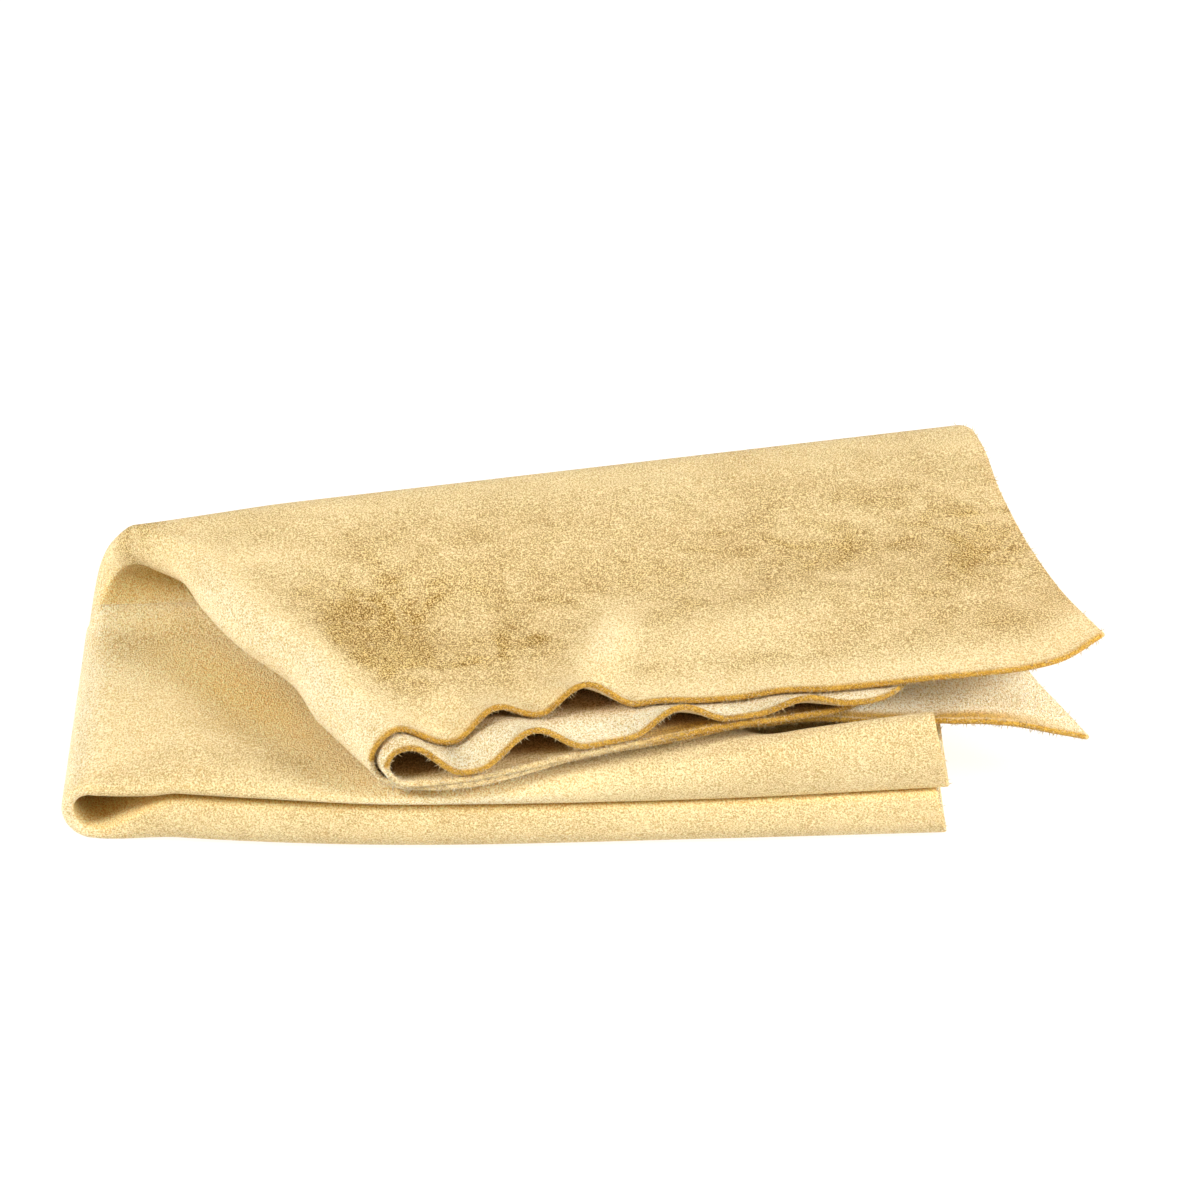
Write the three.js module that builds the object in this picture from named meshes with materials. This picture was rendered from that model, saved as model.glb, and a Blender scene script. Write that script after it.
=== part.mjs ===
// Chamois leather: one piece of soft oil-tanned skin, folded in half three times.
// First fold: along the front. Second fold: at the left, which turns the doubled
// sheet back over itself. Third fold: at the back, which brings the four layers
// forward again as a flap that lies on the stack with its cut edges to the front.
//
// The sheet is drawn in fold coordinates. A column c runs from the right end of the
// lower half (-2) to the left fold (-1 to 1) and on to the right end of the upper half (2).
// A row r runs from the outer leaf's cut edge (-4), over the flap, the back fold (-3 to -2)
// and the run below it, round the front fold (-1 to 1) and out again along the inner leaf (4),
// which comes out past the outer leaf's edge (4 to 5).
// So every layer is one stretch of the same sheet, and nothing is joined or cut.
//
// Millimetres, +Z up, front towards -Y, origin under the middle of the folded sheet.

import * as THREE from "three";

// The skin
const THICKNESS = 1.4;
const CLEARANCE = 0.9; // air between two layers that lie together
const SKIN_COLOUR = 0xe3c888;

// Front fold, where the doubled sheet rolls over: how full each roll is along its length
const LOWER_ROLL = [[0, 13.5], [90, 13.5], [200, 13], [282, 15]];
const UPPER_ROLL = [
  [0, 5], [60, 5], [100, 2.5], [125, 4], [153, 7], [181, 9.5], [199, 11], [231, 17.6], [267, 21.5],
];
const ROLL_FADE_START = 14; // depth at which a roll begins to flatten
const ROLL_FADE_END = 22; // and how far short of the back fold it is flat
const TUBE_START = [165, 222]; // along here the upper roll closes to a tube
const TUBE_DEPTH = [8, 34]; // which flattens between these depths
const LOWER_NOSE = 6; // depth of a roll's rounded front
const UPPER_NOSE = [[0, 13], [60, 12], [110, 7], [160, 4.5], [267, 5.5]];
const FRONT_LINE = [[0, 2], [50, -5], [104, -8], [200, -4], [275, 0]]; // the fold bows towards the front

// Left fold
const TURN_RADIUS = 8.6; // to the middle of the outer leaf
const OPENING_START = 10.3; // where the layers begin to open out into the rolls
const OPENING_LENGTH = 26; // and the length over which they do
const TURN_PINCH = 0.65; // share by which the back fold narrows it
const PINCH_ROWS = [1.7, 2.1, 2.9, 3.25]; // rows where that starts, is full, eases and ends
const LEFT_LEAN = 6; // how far the left side leans out towards the back
const SETTLE = 5; // how far the upper half sinks away from the left fold
const SETTLE_LENGTH = 140;

// Back fold
const BACK_RADIUS = 22.3; // to the middle of the outer leaf
const BACK_DEPTH = 124.5; // from the front fold, along the left side
const BACK_SKEW = THREE.MathUtils.degToRad(16);
const BACK_PRESS = 0.3; // share by which the back fold presses the left fold flat
const CORNER_FLAT = 2.2; // the bend's left corner is pressed flat by this much
const CORNER_ANGLE = THREE.MathUtils.degToRad(135); // round the bend
const CORNER_SPREAD = THREE.MathUtils.degToRad(45);
const CORNER_LENGTH = 60; // from the left fold
const RIDGE_HEIGHT = 4.5; // the top layer buckles up just ahead of the back fold
const RIDGE_AHEAD = [[0, 8], [35, 16], [100, 22]];
const RIDGE_HALF_WIDTH = 15;

// Right end: length of each layer (1 to 4 from the bottom) along the front, then along the back fold
const FRONT_LENGTHS = [272, 268.5, 272, 267];
const BACK_LENGTH = 284;
const OUTER_TAPER = [[0, 0], [0.1, 6], [0.31, 21], [0.78, 48], [1, 56]]; // over the flap, top layer
const INNER_TAPER = [[0, 0], [0.4, 36], [0.8, 78], [1, 94]]; // the two layers between
const LOWEST_TAPER = [[0, 0], [0.31, 24], [0.8, 68], [1, 70]]; // the layer under them

// Flap, from the back fold forward
const FLAP_OVERHANG = 26.5; // how much further it reaches along the left fold than the back fold is deep
const FLAP_INSET = [
  [-40, 0], [-18, 2], [0, 5], [18, 9], [45, 4], [70, 2], [95, 5], [120, 0],
]; // how its left fold wanders
const INSET_LENGTH = 60;
const OUTER_EDGE = [[0, 2], [28, -3], [55, -7], [82, 0], [126, 10], [164, 16], [204, 16], [228, 3]];
const INNER_EDGE = [[0, 6], [22, 12], [58, 13], [100, 16], [135, 22], [150, 18], [165, 8], [190, 0]];
const THIRD_SHORT = 6; // the inner leaf's upper half falls this much short of its lower half
const THIRD_SHORT_FROM = [110, 150];
const LOWEST_EDGE = [
  [0, 2], [20, 12], [60, 11], [96, 14], [129, 11], [145, 13], [161, 16], [174, 19], [200, 21], [214, 18.5],
];
const LEAST_PROUD = 3; // the inner leaf's edge comes out at least this far past its last covered row
const FRONT_REST = [
  [0, 20], [60, 24], [100, 21.8], [125, 23.6], [153, 26.5], [181, 29], [199, 30.5], [231, 32.8], [267, 34.4],
]; // level of the flap along its front
const REST_GAP = 2.8; // middle of the lowest layer above the middle of the layer it lies on
const REST_LENGTH = 90; // over which the flap comes down from the back fold
const REST_PAST = 1.1; // share of its reach at which its front has come to rest
const FLAP_AIR = 0.7; // more air between the flap's lower and upper pair of layers
const EDGE_CURL = 60; // the layers lie closer together this near to the cut edges
const INNER_TURN = [14, 36]; // length over which the inner leaf closes up: at the cut edge, more behind it
const OUTER_TURN = [22, 38]; // the same for the outer leaf
const CORNER_FALL = [
  [-72, 0], [-41, 3.3], [-24, 6.5], [-7, 8.5], [8, 8.5], [22, 10.8], [35, 15.5], [47, 21.4],
]; // how far the lowest layer hangs, by how far it lies past the end of the stack
const CORNER_SLOPE = 1.5; // the lowest layer's corner may hang this steeply past the end of the stack

// Waves in the cut edges: place along the edge, half width, height, depth over which it fades
const INNER_WAVES = [[43, 17, 9.5, 22], [87, 15, 7, 8], [122, 14, 3.5, 10]];
const OUTER_WAVES = [[41, 13, 3, 9], [69, 14, 9, 13]];

// Mesh stations, along the length from the left fold and in fold coordinates
const LOWER_COLUMNS = [22, 40, 62, 92, 135, 195];
const LOWER_WAVE_COLUMNS = [15, 22, 31, 40, 48, 57, 69, 78, 87, 98, 110, 122, 136, 165, 198];
const UPPER_COLUMNS = [24, 55, 100, 160, 215];
const UPPER_WAVE_COLUMNS = [15, 31, 48, 69, 103, 140, 182, 198];
const TURN_COLUMNS = [-1, -0.5, 0, 0.5, 1];
const END_ROOM = 12; // no station lies closer to the right end
const RUN_ROWS = [1, 1.14, 1.45, 1.9];
const BACK_ROWS = [2, 2.2, 2.4, 2.6, 2.8, 3];
const FLAP_ROWS = [3.34, 3.66];
const WAVE_ROWS = [3.87, 4];
const PROUD_ROW = 5;
const NOSE_ROWS = [-0.5, 0, 0.5];

const PITCH = THICKNESS + CLEARANCE;
const FLAP_REACH = BACK_DEPTH + FLAP_OVERHANG;
const TURN_HEIGHTS = [0, PITCH, 2 * TURN_RADIUS - PITCH, 2 * TURN_RADIUS];
const SKEW_COS = Math.cos(BACK_SKEW);
const SKEW_SIN = Math.sin(BACK_SKEW);
const SKEW_TAN = Math.tan(BACK_SKEW);
const BACK_SLIP = Math.PI * (BACK_RADIUS - TURN_RADIUS) * SKEW_SIN; // by which the skewed fold shifts the sheet
const TAPERS = [OUTER_TAPER, INNER_TAPER, INNER_TAPER, LOWEST_TAPER];

const { clamp, lerp, smoothstep } = THREE.MathUtils;

// The greater of two heights, rounded where they cross.
function higher(a, b, softness = 2) {
  return 0.5 * (a + b + Math.hypot(a - b, softness));
}

// A cosine hump, 1 at its centre and 0 a half width away.
function hump(x, centre, halfWidth) {
  const away = clamp(Math.abs(x - centre) / halfWidth, 0, 1);
  return 0.5 + 0.5 * Math.cos(Math.PI * away);
}

// A smooth curve through [place, value] points, level past its ends.
function along(points, at) {
  const last = points.length - 1;
  const x = clamp(at, points[0][0], points[last][0]);
  let i = 0;
  while (i < last - 1 && x > points[i + 1][0]) i += 1;
  const chord = (k) => (points[k + 1][1] - points[k][1]) / (points[k + 1][0] - points[k][0]);
  const slope = (k) => 0.5 * (chord(Math.max(k - 1, 0)) + chord(Math.min(k, last - 1)));
  const width = points[i + 1][0] - points[i][0];
  const t = (x - points[i][0]) / width;
  const start = points[i][1] * (1 + 2 * t) + slope(i) * width * t;
  const end = points[i + 1][1] * (3 - 2 * t) - slope(i + 1) * width * (1 - t);
  return start * (1 - t) ** 2 + end * t ** 2;
}

// Depth of the back fold at a place along the length.
function backLine(x) {
  return BACK_DEPTH + SKEW_TAN * x;
}

// A height in the left fold's even stack, moved to where the four layers really lie.
function restack(height, layers) {
  let placed = layers[0];
  for (let i = 0; i < 3; i += 1) {
    const share = (height - TURN_HEIGHTS[i]) / (TURN_HEIGHTS[i + 1] - TURN_HEIGHTS[i]);
    placed += clamp(share, 0, 1) * (layers[i + 1] - layers[i]);
  }
  return placed;
}

// One value for each layer, mixed by half (0 lower, 1 upper) and leaf (0 outer, 1 inner).
function byLayer(values, half, leaf) {
  return lerp(lerp(values[0], values[1], leaf), lerp(values[3], values[2], leaf), half);
}

// How far the layers have opened out of the left fold.
function opening(x) {
  return smoothstep(x, OPENING_START, OPENING_START + OPENING_LENGTH);
}

// Height of the upper roll: it flattens slowly towards the back, but closes to a tube at its right end.
function upperRoll(x, depth) {
  const tube = smoothstep(x, ...TUBE_START);
  const fadeStart = lerp(ROLL_FADE_START, TUBE_DEPTH[0], tube);
  const fadeEnd = lerp(backLine(x) - ROLL_FADE_END, TUBE_DEPTH[1], tube);
  return opening(x) * (along(UPPER_ROLL, x) - PITCH) * (1 - smoothstep(depth, fadeStart, fadeEnd));
}

// Heights of layers 1 to 4 in the stack under the flap.
function stackHeights(x, depth) {
  const back = backLine(x);
  const ahead = along(RIDGE_AHEAD, x);
  const full = opening(x) * (1 - smoothstep(depth, ROLL_FADE_START, back - ROLL_FADE_END));
  const sunk = SETTLE * smoothstep(x, 2 * TURN_RADIUS, 2 * TURN_RADIUS + SETTLE_LENGTH);
  const pressed = 1 - BACK_PRESS * smoothstep(depth, back - ahead, back);
  const second = PITCH + (along(LOWER_ROLL, x) - PITCH) * full;
  const third = higher((TURN_HEIGHTS[2] - sunk) * pressed, second + PITCH);
  const ridge = RIDGE_HEIGHT * hump((back - depth) * SKEW_COS, ahead, Math.min(ahead, RIDGE_HALF_WIDTH));
  return [0, second, third, third + PITCH + upperRoll(x, depth) + ridge];
}

// The waves of one cut edge, at a distance behind it.
function waveHeight(waves, x, behind) {
  return waves.reduce(
    (sum, [place, width, height, fade]) => sum + height * hump(x, place, width) * Math.exp(-behind / fade),
    0,
  );
}

// How far a leaf reaches forward from the back fold.
function reachOf(edge, x) {
  return FLAP_REACH + along(edge, x);
}

// How far a place lies past the right end of the stack.
function pastEnd(planX, planY) {
  return planX - lerp(Math.max(...FRONT_LENGTHS), BACK_LENGTH, clamp(planY / backLine(BACK_LENGTH), 0, 1));
}

// Height of the stack's top layer under a place of the flap.
function stackTop(planX, planY) {
  const x = clamp(planX, 0, BACK_LENGTH);
  return stackHeights(x, clamp(planY - along(FRONT_LINE, x), 0, backLine(x)))[3];
}

// How far the lowest layer hangs under the rest of the flap: behind the upper roll's end, and past the stack.
function cornerFall(planX, planY, level) {
  const past = pastEnd(planX, planY);
  const support = stackTop(planX, planY) + REST_GAP - CORNER_SLOPE * Math.max(past, 0);
  return level - higher(level - along(CORNER_FALL, past), support);
}

// Heights of the flap's layers, from its lowest to its top, above the level it lies at.
function flapHeights(x, forward, planX, planY, level) {
  const behindInner = Math.max(reachOf(INNER_EDGE, x) - forward, 0);
  const behindOuter = Math.max(reachOf(OUTER_EDGE, x) - forward, 0);
  const closing = smoothstep(behindInner, 0, EDGE_CURL);
  const inner = smoothstep(x, TURN_RADIUS, TURN_RADIUS + INNER_TURN[0] + INNER_TURN[1] * closing);
  const outer = smoothstep(x, TURN_RADIUS, TURN_RADIUS + OUTER_TURN[0] + OUTER_TURN[1] * closing);
  const pressed = 1 - BACK_PRESS * clamp(1 - forward / FLAP_REACH, 0, 1);
  const third = PITCH;
  const lifted = PITCH + FLAP_AIR + waveHeight(INNER_WAVES, x, behindInner);
  const second = third + lerp(TURN_HEIGHTS[2] * pressed - PITCH, lifted, inner);
  const top = second + PITCH + waveHeight(OUTER_WAVES, x, behindOuter) * outer;
  return [-cornerFall(planX, planY, level), third, second, top];
}

// The level that the flap lies at: it spans from the back fold to the front rolls, over all that is under it.
function flapLevel(planX, planY, forward) {
  const x = clamp(planX, 0, BACK_LENGTH);
  const backRest = 2 * BACK_RADIUS - stackHeights(x, backLine(x))[3];
  const span = lerp(backRest, along(FRONT_REST, x), clamp(forward / FLAP_REACH, 0, REST_PAST));
  return higher(span, stackTop(planX, planY) + REST_GAP);
}

// Which leaf a row lies on: 0 outer, 1 inner, and between them round the front fold.
function leafOf(r) {
  return 0.5 - 0.5 * Math.cos(((clamp(r, -1, 1) + 1) * Math.PI) / 2);
}

// How far the left fold bulges out, by row: the back fold pinches it.
function turnWidth(r) {
  const [start, full, ease, end] = PINCH_ROWS;
  const row = Math.abs(r);
  const pinched = smoothstep(row, start, full) * (1 - smoothstep(row, ease, end));
  return (TURN_RADIUS - PITCH * leafOf(r)) * (1 - TURN_PINCH * pinched);
}

// Where the left fold ends and the straight layers start, by row.
function turnEnd(r) {
  return PITCH * leafOf(r) + turnWidth(r);
}

// Length of the sheet from the left fold to its right end, by row.
function rightEnd(r, half) {
  const leaf = leafOf(r);
  const run = clamp(Math.abs(r) - 1, 0, 1);
  const flap = clamp(Math.abs(r) - 3, 0, 1);
  const taper = byLayer(TAPERS.map((points) => along(points, flap)), half, leaf);
  return lerp(byLayer(FRONT_LENGTHS, half, leaf), BACK_LENGTH, run ** 2) - taper;
}

// The middle of the sheet's thickness at a column and row.
function sheetPoint(c, r) {
  const turn = ((clamp(c, -1, 1) + 1) * Math.PI) / 2;
  const nose = ((clamp(r, -1, 1) + 1) * Math.PI) / 2;
  const run = clamp(Math.abs(r) - 1, 0, 1);
  const bend = clamp(Math.abs(r) - 2, 0, 1) * Math.PI;
  const flap = clamp(Math.abs(r) - 3, 0, 1);
  const half = 0.5 - 0.5 * Math.cos(turn);

  const height = TURN_RADIUS - (TURN_RADIUS - PITCH * leafOf(r)) * Math.cos(turn);
  const outward = clamp(Math.abs(c) - 1, 0, 1) * (rightEnd(r, half) - turnEnd(r));
  const x = turnEnd(r) - turnWidth(r) * Math.sin(turn) + outward;

  const noseDepth = PITCH / 2 + opening(x) * lerp(LOWER_NOSE, along(UPPER_NOSE, x), half);
  const depth = lerp(noseDepth * (1 - Math.sin(nose) * (1 - run)), backLine(x), run);
  const stacked = restack(height, stackHeights(x, depth));

  const innerReach = reachOf(INNER_EDGE, x) - THIRD_SHORT * half * smoothstep(x, ...THIRD_SHORT_FROM);
  const covered = (edge) => Math.min(reachOf(edge, x), r > 0 ? innerReach - LEAST_PROUD : Infinity);
  const reach = lerp(covered(OUTER_EDGE), covered(LOWEST_EDGE), half);
  const forward = flap * reach + clamp(r - 4, 0, 1) * (innerReach - reach);
  const corner = (1 - smoothstep(x, 0, CORNER_LENGTH)) * hump(bend, CORNER_ANGLE, CORNER_SPREAD);
  const flattened = CORNER_FLAT * corner * (1 - height / TURN_HEIGHTS[3]);
  const radius = BACK_RADIUS - stacked - flattened;
  const behindLine = radius * Math.sin(bend) - forward;
  const slip = (BACK_SLIP * bend) / Math.PI;
  const pastBend = forward - Math.PI * (BACK_RADIUS - TURN_RADIUS) * (1 - bend / Math.PI);
  const inset = along(FLAP_INSET, pastBend) * (1 - smoothstep(x, 0, INSET_LENGTH));
  const planX = x + inset + forward * SKEW_SIN + slip * SKEW_COS - behindLine * SKEW_SIN;
  const planY =
    depth +
    along(FRONT_LINE, x) * (1 - run) +
    (forward * SKEW_TAN + slip) * SKEW_SIN +
    behindLine * SKEW_COS;

  const folded = BACK_RADIUS - radius * Math.cos(bend);
  const level = flapLevel(planX, planY, forward);
  const lying = level + restack(2 * TURN_RADIUS - height, flapHeights(x, forward, planX, planY, level));
  const lean = LEFT_LEAN * clamp(planY / BACK_DEPTH, 0, 1) * clamp(1 - planX / BACK_LENGTH, 0, 1);
  return new THREE.Vector3(planX - lean, planY, lerp(folded, lying, smoothstep(forward, 0, REST_LENGTH)));
}

// The side of the sheet that faces out of the folds, at a column and row.
function sheetNormal(c, r) {
  const step = 1e-3;
  const low = (value, end) => Math.max(value - step, -end);
  const high = (value, end) => Math.min(value + step, end);
  const alongColumn = sheetPoint(high(c, 2), r).sub(sheetPoint(low(c, 2), r));
  const alongRow = sheetPoint(c, high(r, PROUD_ROW)).sub(sheetPoint(c, low(r, 4)));
  return alongRow.cross(alongColumn).normalize();
}

// Column stations of one row, from the right end of the lower half to that of the upper half.
function columnsOf(r) {
  const waved = Math.abs(r) >= WAVE_ROWS[0];
  const stations = (places, half) => {
    const start = turnEnd(r);
    const end = rightEnd(r, half);
    const inside = places.filter((x) => x < end - END_ROOM);
    return [...inside.map((x) => 1 + (x - start) / (end - start)), 2];
  };
  const lower = stations(waved ? LOWER_WAVE_COLUMNS : LOWER_COLUMNS, 0).map((c) => -c);
  const upper = stations(waved ? UPPER_WAVE_COLUMNS : UPPER_COLUMNS, 1);
  return [...lower.reverse(), ...TURN_COLUMNS, ...upper];
}

// Triangles between two rows of vertices whose stations differ.
function zip(first, second) {
  const triangles = [];
  let i = 0;
  let j = 0;
  while (i < first.length - 1 || j < second.length - 1) {
    const nextFirst = i < first.length - 1 ? first[i + 1].c : Infinity;
    const nextSecond = j < second.length - 1 ? second[j + 1].c : Infinity;
    if (nextFirst <= nextSecond) {
      triangles.push([first[i].index, first[i + 1].index, second[j].index]);
      i += 1;
    } else {
      triangles.push([first[i].index, second[j + 1].index, second[j].index]);
      j += 1;
    }
  }
  return triangles;
}

// The sheet as one closed solid: both faces, and the cut edge all round.
function sheetGeometry() {
  const leafRows = [...RUN_ROWS, ...BACK_ROWS, ...FLAP_ROWS, ...WAVE_ROWS];
  const rowStations = [...leafRows.map((r) => -r).reverse(), ...NOSE_ROWS, ...leafRows, PROUD_ROW];
  const middle = [];
  const rows = rowStations.map((r) =>
    columnsOf(r).map((c) => {
      middle.push({ point: sheetPoint(c, r), normal: sheetNormal(c, r) });
      return { c, index: middle.length - 1 };
    }),
  );

  const faces = [];
  for (let k = 0; k < rows.length - 1; k += 1) faces.push(...zip(rows[k], rows[k + 1]));
  const lastRow = rows[rows.length - 1];
  const rim = [
    ...rows[0],
    ...rows.slice(1, -1).map((row) => row[row.length - 1]),
    ...[...lastRow].reverse(),
    ...rows.slice(1, -1).map((row) => row[0]).reverse(),
  ].map((vertex) => vertex.index);

  const count = middle.length;
  const offset = (distance) =>
    middle.map(({ point, normal }) => point.clone().addScaledVector(normal, distance));
  const vertices = [...offset(THICKNESS / 2), ...offset(-THICKNESS / 2)];
  const triangles = faces.flatMap(([a, b, c]) => [a, c, b, a + count, b + count, c + count]);
  rim.forEach((a, k) => {
    const b = rim[(k + 1) % rim.length];
    triangles.push(a, b, b + count, a, b + count, a + count);
  });

  const geometry = new THREE.BufferGeometry().setFromPoints(vertices);
  geometry.setIndex(triangles);
  geometry.computeVertexNormals();
  return geometry;
}

// Moves the sheet so that it lies on z = 0 with the origin under its middle.
function seatOnOrigin(geometry) {
  geometry.computeBoundingBox();
  const { min, max } = geometry.boundingBox;
  return geometry.translate(-(min.x + max.x) / 2, -(min.y + max.y) / 2, -min.z);
}

const leather = new THREE.MeshStandardMaterial({ color: SKIN_COLOUR, roughness: 0.95, metalness: 0 });
const sheet = new THREE.Mesh(seatOnOrigin(sheetGeometry()), leather);
sheet.name = "chamois_sheet";

const chamois = new THREE.Group();
chamois.add(sheet);

export default chamois;
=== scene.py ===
# A folded chamois leather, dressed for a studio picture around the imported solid.
# The sheet is drawn in millimetres in fold coordinates, as the solid is, and placed in metres in its frame.
# Columns run along it: -2 is the right end of the lower half, -1 to 1 turns round the left fold, and 2 is
# the right end of the upper half. Rows run across it, below 0 on the outer leaf and above 0 on the inner one:
# up to 1 is the front fold, up to 2 the stack, up to 3 the back fold and up to 4 the flap. The inner leaf
# goes on to 5, where its cut edge stands out past the outer one's.
import math

import bpy
import numpy as np
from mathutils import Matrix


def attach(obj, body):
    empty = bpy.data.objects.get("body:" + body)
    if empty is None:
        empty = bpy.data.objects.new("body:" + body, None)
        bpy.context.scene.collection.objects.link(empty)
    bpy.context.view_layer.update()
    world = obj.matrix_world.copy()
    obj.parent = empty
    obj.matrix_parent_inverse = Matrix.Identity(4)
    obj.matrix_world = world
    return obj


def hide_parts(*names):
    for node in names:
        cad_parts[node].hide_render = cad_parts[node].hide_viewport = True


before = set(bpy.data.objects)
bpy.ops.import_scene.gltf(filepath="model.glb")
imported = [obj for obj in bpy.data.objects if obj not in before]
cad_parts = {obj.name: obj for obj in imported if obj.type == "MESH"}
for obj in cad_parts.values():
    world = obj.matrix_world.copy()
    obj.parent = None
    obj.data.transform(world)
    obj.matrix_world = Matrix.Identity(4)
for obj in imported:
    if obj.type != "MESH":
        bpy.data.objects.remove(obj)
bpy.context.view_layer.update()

MM = 0.001

# The skin
THICKNESS = 1.4
CLEARANCE = 0.9  # air between two layers that lie together

# Front fold, where the doubled sheet rolls over: curves are points of (place along the length, value)
LOWER_ROLL = ((0, 13.5), (90, 13.5), (200, 13), (282, 15))
UPPER_ROLL = (
    (0, 5), (60, 5), (100, 2.5), (125, 4), (153, 7),
    (181, 10.2), (199, 12.3), (231, 17.6), (267, 21.5),
)
ROLL_FADE_START = 14
ROLL_FADE_END = 22
TUBE_START = (165, 222)
TUBE_DEPTH = (8, 34)
LOWER_NOSE = 6
UPPER_NOSE = ((0, 13), (60, 12), (110, 7), (160, 4.5), (267, 5.5))
INNER_NOSE = 0.4  # share of a nose's depth on the inner leaf, so the rolls meet in a sharp crease
FRONT_LINE = ((0, 2), (50, -5), (104, -8), (200, -4), (275, 0))

# Tight fold of the upper roll, where the skin's inside is pressed thin
FOLD_SQUEEZE = 0.8
SQUEEZE_ROWS = 0.8
SQUEEZE_COLUMNS = (0.8, 1)
SQUEEZE_FADE = (130, 175)

# Left fold
TURN_RADIUS = 8.6
OPENING_START = 10.3
OPENING_LENGTH = 26
TURN_PINCH = 0.65
PINCH_ROWS = (1.7, 2.1, 2.9, 3.25)
LEFT_LEAN = 6
SETTLE = 5
SETTLE_LENGTH = 140

# Back fold
BACK_RADIUS = 22.3
BACK_DEPTH = 124.5
BACK_SKEW = math.radians(16)
BACK_PRESS = 0.3
CORNER_FLAT = 2.2
CORNER_ANGLE = math.radians(135)
CORNER_SPREAD = math.radians(45)
CORNER_LENGTH = 60
RIDGE_HEIGHT = 4.5
RIDGE_AHEAD = ((0, 8), (35, 16), (100, 22))
RIDGE_HALF_WIDTH = 15

# Right end: the layers' lengths, and how much shorter each is along the flap
FRONT_LENGTHS = (272, 268.5, 272, 267)
BACK_LENGTH = 284
OUTER_TAPER = ((0, 0), (0.1, 6), (0.31, 21), (0.78, 48), (1, 56))
INNER_TAPER = ((0, 0), (0.4, 36), (0.8, 78), (1, 94))
LOWEST_TAPER = ((0, 0), (0.31, 24), (0.8, 68), (1, 70))

# Flap, from the back fold forward
FLAP_OVERHANG = 26.5
FLAP_INSET = ((-40, 0), (-18, 2), (0, 5), (18, 9), (45, 4), (70, 2), (95, 5), (120, 0))
INSET_LENGTH = 60
OUTER_EDGE = ((0, 2), (28, -3), (55, -7), (82, 0), (126, 10), (164, 16), (204, 16), (228, 3))
INNER_EDGE = ((0, 6), (22, 12), (58, 13), (100, 16), (135, 22), (150, 18), (165, 8), (190, 0))
LOWEST_EDGE = (
    (0, 2), (20, 12), (60, 11), (96, 14), (129, 11),
    (145, 13), (161, 16), (174, 19), (200, 21), (214, 18.5),
)
THIRD_SHORT = 6
THIRD_SHORT_FROM = (110, 150)
LEAST_PROUD = 3
FRONT_REST = (
    (0, 20), (60, 24), (100, 21.8), (125, 23.6), (153, 26.5),
    (181, 29), (199, 30.5), (231, 32.8), (267, 34.4),
)
REST_GAP = 2.8
REST_LENGTH = 90
REST_PAST = 1.1
FLAP_AIR = 0.1
EDGE_CURL = 60
INNER_TURN = (14, 36)
OUTER_TURN = (22, 38)
CORNER_FALL = ((-72, 0), (-41, 3.3), (-24, 6.5), (-7, 8.5), (8, 8.5), (22, 10.8), (35, 15.5), (47, 21.4))
CORNER_SLOPE = 1.5

# Waves in the cut edges: place along the edge, half width, height, depth over which it fades
INNER_WAVES = ((43, 17, 9.5, 22), (87, 15, 7, 8), (122, 14, 3.5, 10))
OUTER_WAVES = ((41, 13, 3, 9), (69, 14, 9, 13))

# Soft patches: plan x and y, half length, half width, direction in degrees, and height or strength
FLAP_SWELLS = (
    (225, 78, 95, 34, 22, 1.6),
    (166, 52, 42, 14, 78, 2.0),
    (112, 82, 40, 18, 60, -1.2),
)
STACK_SWELLS = ((28, 60, 60, 34, -48, 1.2),)
# On the flap: dark patches are brushed nap, and painted shade where the top dips or slopes away from the
# light; pale patches are worn nap, and painted light on its rises
FLAP_NAP_AND_SHADE_PATCHES = (
    (94, 62, 46, 24, 75, 1.2),
    (90, 46, 26, 14, 60, 0.5),
    (135, 60, 50, 18, 10, 0.4),
    (244, 116, 62, 22, 12, 0.15),
    (291, 118, 46, 20, 80, 0.5),
    (55, 107, 34, 18, 15, -0.45),
    (167, 58, 44, 14, 78, -0.75),
    (205, 60, 58, 26, 20, -0.4),
)
# On the stack: darker nap near the back, painted shade along the valley beside the flap, and painted light on
# the roll that the flap's front edge shades
STACK_NAP_AND_SHADING_PATCHES = (
    (15, 98, 50, 18, 10, 0.3),
    (30, 76, 34, 9, -57, 0.2),
    (120, -4, 62, 20, 0, -0.9),
)
# Painted warm light: along the valley beside the flap, and on the roll that the flap's front edge shades
STACK_GLOWING = (
    (50, 62, 74, 28, -54, 1.1),
    (120, -4, 62, 20, 0, 0.45),
)

# Nap and painted shading: brushed dark nap and painted shade above 0, worn pale nap and painted light below
# it. Each place fades over a range of rows or millimetres
# Over the flap's top: its nap, and painted shade for a top that the light reaches less
FLAP_NAP_AND_SHADE = 0.53
FLAP_NAP_LIMITS = (-1, 1.3)
FLAP_NAP_ROWS = (2.6, 3.4)
FLAP_NAP_FROM = (7, 24)  # from the left fold
LIP_NAP = -0.5  # along the flap's cut edge
LIP_BEHIND = 6
LIP_HALF_WIDTH = 24
ROLL_NAP = 0.24  # on the front rolls
ROLL_END_ROWS = (1.02, 1.12)
FOLD_NAP = -0.6  # along the left fold, apart from its back
FOLD_NAP_END = (2, 14)
FOLD_BACK_ROW = 2.7
FOLD_BACK_ROWS = 0.9
FACET_SHADE = 0.8  # painted shade on the back fold's left corner, where the key light falls full
FACET_END = (5, 18)
FACET_ROW = 2.93
FACET_ROWS = 0.27
UPPER_COLUMNS = (0.5, 1)  # where the left fold passes into the upper half
STACK_END_ROWS = (2, 2.5)

# Painted warm light, as if bounced off the skin around: inside the back fold, along the flap and between the
# rolls
RECESS_ROW = -2.4
RECESS_ROWS = 0.5
VALLEY_ROWS = (-2.2, -1.9, -0.3, 0)
BETWEEN_ROWS = (0.5, 1, 2, 2.5)

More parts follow.
